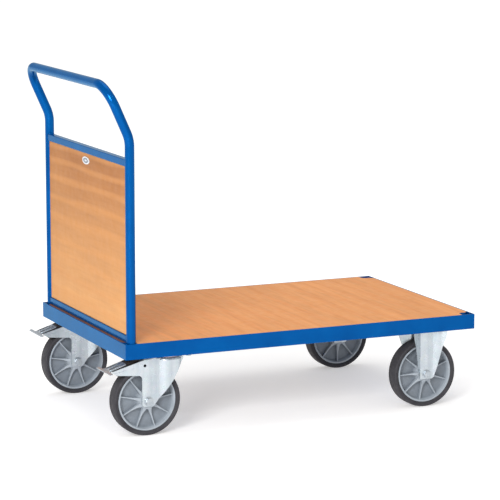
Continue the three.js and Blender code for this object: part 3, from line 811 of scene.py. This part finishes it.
tp = [(86.05, 17.4), (86.6, 18.6), (87.6, 19.6), (89.6, 20.8), (91.0, 21.3), (91.8, 21.0), (92.6, 21.6), (94.4, 22.1), (96.0, 22.2), (97.4, 21.7), (98.4, 20.8), (99.2, 19.2), (99.6, 17.0), (99.85, 13.5), (100.0, 8.0), (100.0, 0.0)]
tp = tp + [(r, -h) for r, h in reversed(tp[:-1])]
tyre = lathe(tp, 144, "y")
roller = lathe(capsule_ring(10.7, 14.9, -24.6, 24.6, 0.5), 48, "y")


def hexhead(r, y0, y1, chamfer):
    """hexagon head or nut along Y with turned corners; chamfer is 'lo', 'hi' or 'both'"""
    pts = [(r * math.cos(math.pi / 3 * k), r * math.sin(math.pi / 3 * k)) for k in range(6)]
    o = prism(pts, y0, y1, "y")
    a = 1.9
    prof = [(0, y0), (r - a, y0)] if chamfer in ("lo", "both") else [(0, y0), (r + 2, y0)]
    if chamfer in ("lo", "both"):
        prof += [(r + 0.4, y0 + a * 0.72)]
    if chamfer in ("hi", "both"):
        prof += [(r + 0.4, y1 - a * 0.72), (r - a, y1), (0, y1)]
    else:
        prof += [(r + 0.4, y1), (0, y1)]
    boolean(o, lathe(prof, 64, "y", closed=False), "INTERSECT")
    return tidy(o)


def axle_set(body, tag, at):
    head = hexhead(11.0, -LEG_OUT - 7.8, -LEG_OUT - 1.9, "lo")
    flange = lathe([(0, -LEG_OUT - 2.4), (12.6, -LEG_OUT - 2.0), (13.4, -LEG_OUT - 1.4), (13.4, -LEG_OUT - 0.25), (0, -LEG_OUT - 0.25)], 48, "y", closed=False)
    shank = lathe([(0, -LEG_OUT - 1), (6, -LEG_OUT - 1), (6, LEG_OUT + 12.2), (5.2, LEG_OUT + 13), (0, LEG_OUT + 13)], 32, "y", closed=False)
    dish = cyl(6.0, -LEG_OUT - 8.5, -LEG_OUT - 7.3, 0, 0, "y", 40)
    bolt = cut(fuse(head, flange, shank), dish)
    piece(bolt, "axle_bolt_%s_v" % tag, BOLT, body, "bolt_steel", ["axle_bolt_" + tag], at=at)
    nut = fuse(hexhead(11.0, LEG_OUT + 1.9, LEG_OUT + 10.3, "hi"), lathe([(7, LEG_OUT + 0.3), (13.0, LEG_OUT + 0.3), (13.0, LEG_OUT + 1.6), (12.2, LEG_OUT + 2.2), (7, LEG_OUT + 2.2)], 48, "y"))
    nut = cut(nut, cyl(6.1, LEG_OUT - 3, LEG_OUT + 14, 0, 0, "y", 32))
    piece(nut, "axle_nut_%s_v" % tag, BOLT, body, "bolt_steel", ["axle_nut_" + tag], at=at)
    sleeve = lathe(capsule_ring(6.3, 10.2, -LEG_IN + 0.3, LEG_IN - 0.3, 0.3), 40, "y")
    piece(sleeve, "axle_sleeve_%s_v" % tag, BOLT, body, "bolt_steel", ["axle_sleeve_" + tag], at=at)


def wheel_set(body, tag, at, phase):
    r = turn(clone(rim), -phase, "Y")
    piece(r, "wheel_rim_%s_v" % tag, RIM, body, "rim_plastic", ["wheel_rim_" + tag], at=at, smooth=32)
    piece(turn(clone(tyre), -phase, "Y"), "tyre_%s_v" % tag, TYRE, body, "tyre_rubber", ["tyre_" + tag], at=at, smooth=50)
    piece(clone(roller), "roller_bearing_%s_v" % tag, BEAR, body, "bearing_steel", ["roller_bearing_" + tag], at=at)


# ------------------------------------------------------------------ casters, modelled once about the kingpin
def caster_plate():
    o = prism(fillet([(-70, -53), (70, -53), (70, 53), (-70, 53)], 9, 6), PLATE_TOP - 5, PLATE_TOP, "z", bevel=0.5)
    for sx in (-1, 1):
        for sy in (-1, 1):
            slot = fillet([(sx * 52.5 - 9, sy * 38 - 5.6), (sx * 52.5 + 9, sy * 38 - 5.6), (sx * 52.5 + 9, sy * 38 + 5.6), (sx * 52.5 - 9, sy * 38 + 5.6)], 5.5, 6)
            cut(o, prism(slot, PLATE_TOP - 8, PLATE_TOP + 3, "z"))
    return o


def plate_bolts(tag, at, zb):
    k = 0
    for sx in (-1, 1):
        for sy in (-1, 1):
            hexa = [(8.6 * math.cos(math.pi / 3 * q) + sx * 52.5, 8.6 * math.sin(math.pi / 3 * q) + sy * 38) for q in range(6)]
            head = prism(hexa, zb - 6.3, zb - 0.9, "z", bevel=0.6)
            wash = cyl(9.6, zb - 1.3, zb - 0.02, sx * 52.5, sy * 38, "z", 40)
            shank = cyl(4.9, zb - 3, PLATE_TOP + 11, sx * 52.5, sy * 38, "z", 24)
            nut = prism([(8.6 * math.cos(math.pi / 3 * q + 0.3) + sx * 52.5, 8.6 * math.sin(math.pi / 3 * q + 0.3) + sy * 38) for q in range(6)], PLATE_TOP + 3.4, PLATE_TOP + 9.5, "z", bevel=0.5)
            piece(fuse(head, wash, shank, nut), "plate_bolt_%s_%d" % (tag, k), BOLT, "platform", "bolt_steel", at=at)
            k += 1


def make_fork():
    a = AX
    side = [(a - 19, 91), (a - 13.5, 85.4), (a + 13, 84.5), (a + 18.5, 89), (a + 68, 156), (a + 98, 204), (a + 104, 213), (a + 106, CROWN_TOP), (a + 8, CROWN_TOP),
            (a - 16, 218.8), (a - 108.5, 192.9), (a - 108.5, 190.0), (a - 92, 181.2), (a - 24, 175), (a - 19, 168)]
    radii = {0: 5, 1: 5, 2: 4, 3: 6, 4: 60, 9: 30, 10: 1.2, 11: 2.5, 12: 14, 13: 7, 14: 6}
    side = fillet(side, radii, 6)
    core = cyl(41.0, 80, CROWN_TOP - 5, 0, 0, "z", 96)
    legs = [prism(side, s0, s1, "y", bevel=0.55) for s0, s1 in ((-LEG_OUT, -LEG_IN), (LEG_IN, LEG_OUT))]
    for l in legs:
        cut(l, cyl(41.0, 80, CROWN_TOP - 5, 0, 0, "z", 96))
    front = fillet([(a + 18.5, 89), (a + 68, 156), (a + 98, 204), (a + 104, 213.2), (a + 113, 214), (a + 113, CROWN_TOP + 3), (a - 2, CROWN_TOP + 3), (a - 2, 89)], {1: 60, 2: 20, 3: 6}, 6)
    drum = lathe([(0, 84), (45, 84), (45, CROWN_TOP - 5.4), (44.5, CROWN_TOP - 3.4), (43.2, CROWN_TOP - 1.7), (41.2, CROWN_TOP - 0.5), (38.6, CROWN_TOP), (0, CROWN_TOP)], 96, "z", closed=False)
    cut(drum, core)
    cut(drum, box(-60, 60, -LEG_IN - 0.02, LEG_IN + 0.02, 80, CROWN_TOP - 12))
    cut(drum, box(-60, -20, -LEG_IN - 0.02, LEG_IN + 0.02, 80, CROWN_TOP - 5))
    boolean(drum, prism(front, -60, 60, "y"), "INTERSECT")
    tidy(drum)
    roof = box(a - 14, 0, -LEG_OUT + 0.6, LEG_OUT - 0.6, CROWN_TOP - 5, CROWN_TOP - 0.02, bevel=0.6)
    fork = fuse(legs[0], legs[1])
    fork = fuse(fork, drum)
    fork = fuse(fork, roof)
    cut(fork, cyl(8.3, 190, 240, 0, 0, "z", 40))
    cut(fork, cyl(6.25, -60, 60, a, 100, "y", 40))
    cut(fork, cyl(4.3, -60, 60, a - 10.4, 203, "y", 32))
    cut(fork, cyl(4.16, -60, 60, a - 48, 199, "y", 32))
    # pressed stiffening beads along the arms
    for s in (-1, 1):
        b = prism(fillet([(0, -1.6), (34, -1.6), (34, 1.6), (0, 1.6)], 1.55, 6), -0.9, 0.9, "y", bevel=0.6, seg=3)
        turn(b, -10, "Y")
        move(b, a - 99, s * LEG_OUT, 187.6)
        fuse(fork, b)
    return tidy(fork)


PEDAL_SLOPE = math.degrees(math.atan(0.325))


def zt(x):
    """height of the pedal tread above the floor"""
    return 193.5 + 0.325 * (x - (AX - 116))


def slope(o, x):
    turn(o, -PEDAL_SLOPE, "Y")
    return move(o, x, 0, zt(x))


def make_pedal():
    a = AX
    L = 61.0 / math.cos(math.radians(PEDAL_SLOPE))
    tread = prism(fillet([(0, -21.6), (L, -21.6), (L, 21.6), (0, 21.6)], {1: 5, 2: 5}, 6), -3.0, 0.0, "z", bevel=0.5)
    for sy in (-1, 1):
        slot = fillet([(13, sy * 11 - 5.4), (50, sy * 11 - 5.4), (50, sy * 11 + 5.4), (13, sy * 11 + 5.4)], 5.2, 6)
        lip = fillet([(10.8, sy * 11 - 7.6), (52.2, sy * 11 - 7.6), (52.2, sy * 11 + 7.6), (10.8, sy * 11 + 7.6)], 7.2, 6)
        tread = fuse(tread, prism(lip, -1.5, 1.1, "z", bevel=0.6))
        cut(tread, prism(slot, -6, 4, "z"))
    for u in (4.0, 7.0):
        tread = fuse(tread, prism(fillet([(u - 0.9, -17), (u + 0.9, -17), (u + 0.9, 17), (u - 0.9, 17)], 0.85, 4), -1.0, 0.8, "z", bevel=0.4))
    slope(tread, a - 123)
    lip = prism(fillet([(-4.6, -56), (4.6, -56), (4.6, 56), (-4.6, 56)], 3.4, 6), -2.5, 0.2, "z", bevel=0.7, seg=3)
    return tidy(fuse(tread, slope(lip, a - 119.5)))


def make_shade_lever():
    """dark lever body that paints the shade under and behind the tread: floor under the tread's slots, side flanges and
    a hood over the pivot
    """
    a = AX
    L = 39.0 / math.cos(math.radians(PEDAL_SLOPE))
    hood = prism(fillet([(0, -20.8), (L, -20.8), (L, 20.8), (0, 20.8)], {1: 6, 2: 6}, 6), -3.0, 0.6, "z", bevel=0.8, seg=3)
    for k in range(4):
        u = 7 + 5.5 * k
        hood = fuse(hood, prism(fillet([(u - 1, -15), (u + 1, -15), (u + 1, 15), (u - 1, 15)], 0.95, 4), -0.5, 1.3, "z", bevel=0.4))
    slope(hood, a - 63)
    pan = slope(prism(fillet([(0, -19.5), (62, -19.5), (62, 19.5), (0, 19.5)], 3, 4), -5.2, -3.05, "z", bevel=0.4), a - 114)
    body = fuse(hood, pan)
    fl = fillet([(a - 106, zt(a - 106) - 3.2), (a - 88, 192), (a - 58, 189), (a - 36, 197.2), (a - 22.8, 207.0), (a - 24.8, zt(a - 24.8) - 2.5), (a - 63, zt(a - 63) - 3.2)], {1: 6, 2: 12, 3: 8, 4: 3}, 5)
    for y0, y1 in ((-21.9, -18.9), (18.9, 21.9)):
        body = fuse(body, prism(fl, y0, y1, "y", bevel=0.5))
    cut(body, cyl(4.6, -60, 60, a - 48, 199, "y", 32))
    return tidy(body)


def coil(x, z, r, wire, y0, y1, turns, name):
    n = int(turns * 20)
    pts = [Vector((x + r * math.cos(2 * math.pi * k / 20), y0 + (y1 - y0) * k / n, z + r * math.sin(2 * math.pi * k / 20))) for k in range(n + 1)]
    tan = [(pts[min(k + 1, n)] - pts[max(k - 1, 0)]) for k in range(n + 1)]
    return sweep(pts, tan, wire, 10, name)


fork0, pedal0, shade_lever0, plate0 = make_fork(), make_pedal(), make_shade_lever(), caster_plate()
cut(plate0, cyl(8.2, 220, 240, 0, 0, "z", 40))
for side, sy, phase in (("near", -1, 8), ("far", 1, 10)):
    tag = "swivel_" + side
    at = (KX + OX, sy * WY, 0)
    ax = (KX + AX + OX, sy * WY, 100)
    piece(clone(plate0), "top_plate_%s_v" % tag, ZINC, "platform", "zinc_plate", ["top_plate_" + tag], at=at)
    plate_bolts(tag, at, PLATE_TOP - 5)
    kp = lathe([(0, 204.6), (10.6, 204.6), (12.6, 205.6), (13.4, 207.6), (13.4, 214.2), (7.9, 214.2), (7.9, PLATE_TOP + 0.3), (12.4, PLATE_TOP + 0.3), (11.6, PLATE_TOP + 3), (8, PLATE_TOP + 4.7), (0, PLATE_TOP + 5)], 48, "z", closed=False)
    piece(kp, "kingpin_%s_v" % tag, BOLT, "platform", "bolt_steel", ["kingpin_" + tag], at=at)
    race = lathe([(17, CROWN_TOP + 0.35), (34.4, CROWN_TOP + 0.35), (35.4, CROWN_TOP + 0.8), (35.8, CROWN_TOP + 1.7), (35.6, CROWN_TOP + 3.2), (34.9, CROWN_TOP + 3.9), (34.9, CROWN_TOP + 4.5), (35.6, CROWN_TOP + 5.1),
                  (35.8, CROWN_TOP + 6.4), (35.8, PLATE_TOP - 5.3), (17, PLATE_TOP - 5.3)], 96, "z")
    piece(race, "ball_race_%s_v" % tag, ZINC_R, "platform", "zinc_yellow", ["ball_race_" + tag], at=at)
    fb, pbod, wb = tag + "_fork", tag + "_pedal", tag + "_wheel"
    piece(clone(fork0), "fork_%s_v" % tag, ZINC, fb, "zinc_plate", ["fork_" + tag], at=at)
    axle_set(fb, tag, ax)
    wheel_set(wb, tag, ax, phase)
    piece(clone(pedal0), "brake_pedal_%s_v" % tag, ZINC_B, pbod, "zinc_plate", ["brake_pedal_" + tag], at=at)
    # the dark lever body paints the shade under and behind the pedal tread
    piece(clone(shade_lever0), "brake_shade_lever_%s_v" % tag, LEVER_SHADE, pbod, "zinc_plate", ["brake_pedal_" + tag], at=at)
    pin = lathe([(0, -LEG_OUT + 0.1), (3.8, -LEG_OUT + 0.1), (4.1, -LEG_OUT + 0.4), (4.1, LEG_OUT - 0.4), (3.8, LEG_OUT - 0.1), (0, LEG_OUT - 0.1)], 32, "y", closed=False)
    piece(move(pin, AX - 48, 0, 199), "pedal_pin_%s_v" % tag, ZINC, fb, "bolt_steel", ["pedal_pin_" + tag], at=at)
    piece(coil(AX - 48, 199, 6.3, 1.0, -17.5, -3.0, 6, "t"), "brake_spring_a_%s" % tag, SPRING, fb, "bolt_steel", at=at, weighted=False)
    piece(coil(AX - 48, 199, 6.3, 1.0, 3.0, 17.5, 6, "t"), "brake_spring_b_%s" % tag, SPRING, fb, "bolt_steel", at=at, weighted=False)
    zu = lambda x: zt(x) - 5.3
    shoe = prism(fillet([(AX - 62.6, 183.1), (AX - 79.5, 171.6), (AX - 85, 178), (AX - 76, zu(AX - 76)), (AX - 62, zu(AX - 62))], {0: 2, 1: 2, 2: 3}, 4), -15, 15, "y", bevel=0.9, seg=3)
    piece(shoe, "brake_shoe_%s_v" % tag, PAD, pbod, "brake_rubber", ["brake_shoe_" + tag], at=at)


def make_bracket():
    prof = fillet([(-19, 85), (19, 85), (23, 90), (31, 120), (43, 180), (52, 212), (54.5, 233), (-54.5, 233), (-52, 212), (-43, 180), (-31, 120), (-23, 90)],
                  {0: 5, 1: 5, 2: 8, 3: 90, 4: 60, 5: 20, 8: 20, 9: 60, 10: 90, 11: 8}, 6)
    c, fl = 21.0, 0.80
    legs = []
    for s in (-1, 1):
        inner = [(-c - 38, LEG_IN + 38.5 * fl - 1), (-c + 0.5, LEG_IN), (c - 0.5, LEG_IN), (c + 38, LEG_IN + 38.5 * fl - 1)]
        outer = [(c + 38, LEG_OUT + 38 * fl), (c, LEG_OUT + 0.2), (-c, LEG_OUT + 0.2), (-c - 38, LEG_OUT + 38 * fl)]
        ring = inner + outer
        ring = fillet(ring, {1: 6, 2: 6, 5: 3, 6: 3}, 4)
        leg = prism([(x, s * yy) for x, yy in ring], 80, 233, "z")
        boolean(leg, prism(prof, -70, 70, "y"), "INTERSECT")
        boolean(leg, box(-80, 80, -56.5, 56.5, 60, 260), "INTERSECT")
        for lo, hi in ((-80, -52.9), (52.9, 80)):
            cut(leg, box(-80, 80, lo, hi, Z_BOT - 0.35, 260))
        tidy(leg, 0.2, 0.45, 2, 50)
        legs.append(leg)
    plate = prism(fillet([(-70, -53), (70, -53), (70, 53), (-70, 53)], 9, 6), PLATE_TOP - 4.5, PLATE_TOP, "z", bevel=0.5)
    b = fuse(plate, legs[0])
    b = fuse(b, legs[1])
    cut(b, cyl(6.25, -60, 60, 0, 100, "y", 40))
    return tidy(b)


bracket0 = make_bracket()
for side, sy, phase in (("near", -1, 21), ("far", 1, 30)):
    tag = "fixed_" + side
    at = (FX + OX, sy * WY, 0)
    ax = (FX + OX, sy * WY, 100)
    piece(clone(bracket0), "fixed_bracket_%s_v" % tag, ZINC, "platform", "zinc_plate", ["fixed_bracket_" + tag], at=at)
    axle_set("platform", tag, ax)
    wheel_set(tag + "_wheel", tag, ax, phase)
    k = 0
    for sx in (-1, 1):
        for yy in (-14, 14):
            hexa = [(8.6 * math.cos(math.pi / 3 * q) + sx * 60, 8.6 * math.sin(math.pi / 3 * q) + yy) for q in range(6)]
            head = prism(hexa, PLATE_TOP - 10.6, PLATE_TOP - 5.3, "z", bevel=0.6)
            wash = cyl(9.4, PLATE_TOP - 5.7, PLATE_TOP - 4.5, sx * 60, yy, "z", 40)
            piece(fuse(head, wash), "bracket_bolt_%s_%d" % (tag, k), BOLT, "platform", "bolt_steel", at=at)
            k += 1

for o in (fork0, pedal0, shade_lever0, plate0, bracket0, rim, tyre, roller):
    bpy.data.objects.remove(o)


# ------------------------------------------------------------------ stage
def floor_material():
    m = Mat("studio_floor")
    c = m.ramp(m.noise(1.3, 3), [(0.3, (0.80, 0.79, 0.785, 1)), (0.7, (0.83, 0.825, 0.82, 1))])
    # the floor glows although it is no lamp: painted bounce light on the undersides, weaker near the platform and
    # stronger far out so the backdrop stays white
    m.b.inputs["Emission Color"].default_value = (1.0, 0.985, 0.975, 1)
    far = m.node("ShaderNodeVectorMath", operation="LENGTH")
    m.link(m.co, far.inputs[0])
    m.link(m.value(far.outputs["Value"], 0.38, 0.56, 0.6, 3.0), m.b.inputs["Emission Strength"])
    return m.done(c, 0.9, Specular_IOR_Level=0.2)


bm = bmesh.new()
vs = [bm.verts.new(v) for v in ((-30, -30, 0), (30, -30, 0), (30, 60, 0), (-30, 60, 0))]
bm.faces.new(vs)
floor = obj_from(bm, "studio_floor")
floor.data.materials.append(floor_material())

world = bpy.data.worlds.new("studio")
bpy.context.scene.world = world
world.use_nodes = True
bg = world.node_tree.nodes["Background"]
bg.inputs["Color"].default_value = (1, 1, 1, 1)
bg.inputs["Strength"].default_value = 0.64


def area(name, loc, target, size, power, color=(1, 1, 1), size_y=None):
    l = bpy.data.lights.new(name, "AREA")
    l.shape = "RECTANGLE"
    l.size = size
    l.size_y = size_y or size
    l.energy = power
    l.color = color
    o = bpy.data.objects.new(name, l)
    bpy.context.scene.collection.objects.link(o)
    o.location = loc
    d = Vector(target) - Vector(loc)
    o.rotation_euler = d.to_track_quat("-Z", "Y").to_euler()
    return o


area("key", (-3.5, -3.7, 2.3), (0.1, 0, 0.3), 1.7, 215)
area("top", (0.4, 0.6, 4.6), (0.2, 0, 0), 3.2, 50)
area("strip", (-1.2, -4.4, 3.9), (-0.4, 0, 0.7), 1.1, 14, size_y=0.05)

cam = bpy.data.cameras.new("camera")
cam.sensor_width = 36.0
cam.lens = 177.5
cam.clip_end = 200
co = bpy.data.objects.new("camera", cam)
bpy.context.scene.collection.objects.link(co)
co.location = ((-2948.4 + OX) / 1000, -6.5845, 1.6731)
co.rotation_euler = (math.pi / 2 - 0.1682, 0.0, -0.4185)
bpy.context.scene.camera = co
bpy.context.scene.view_settings.view_transform = "Standard"
bpy.context.scene.view_settings.look = "None"

bpy.context.view_layer.update()
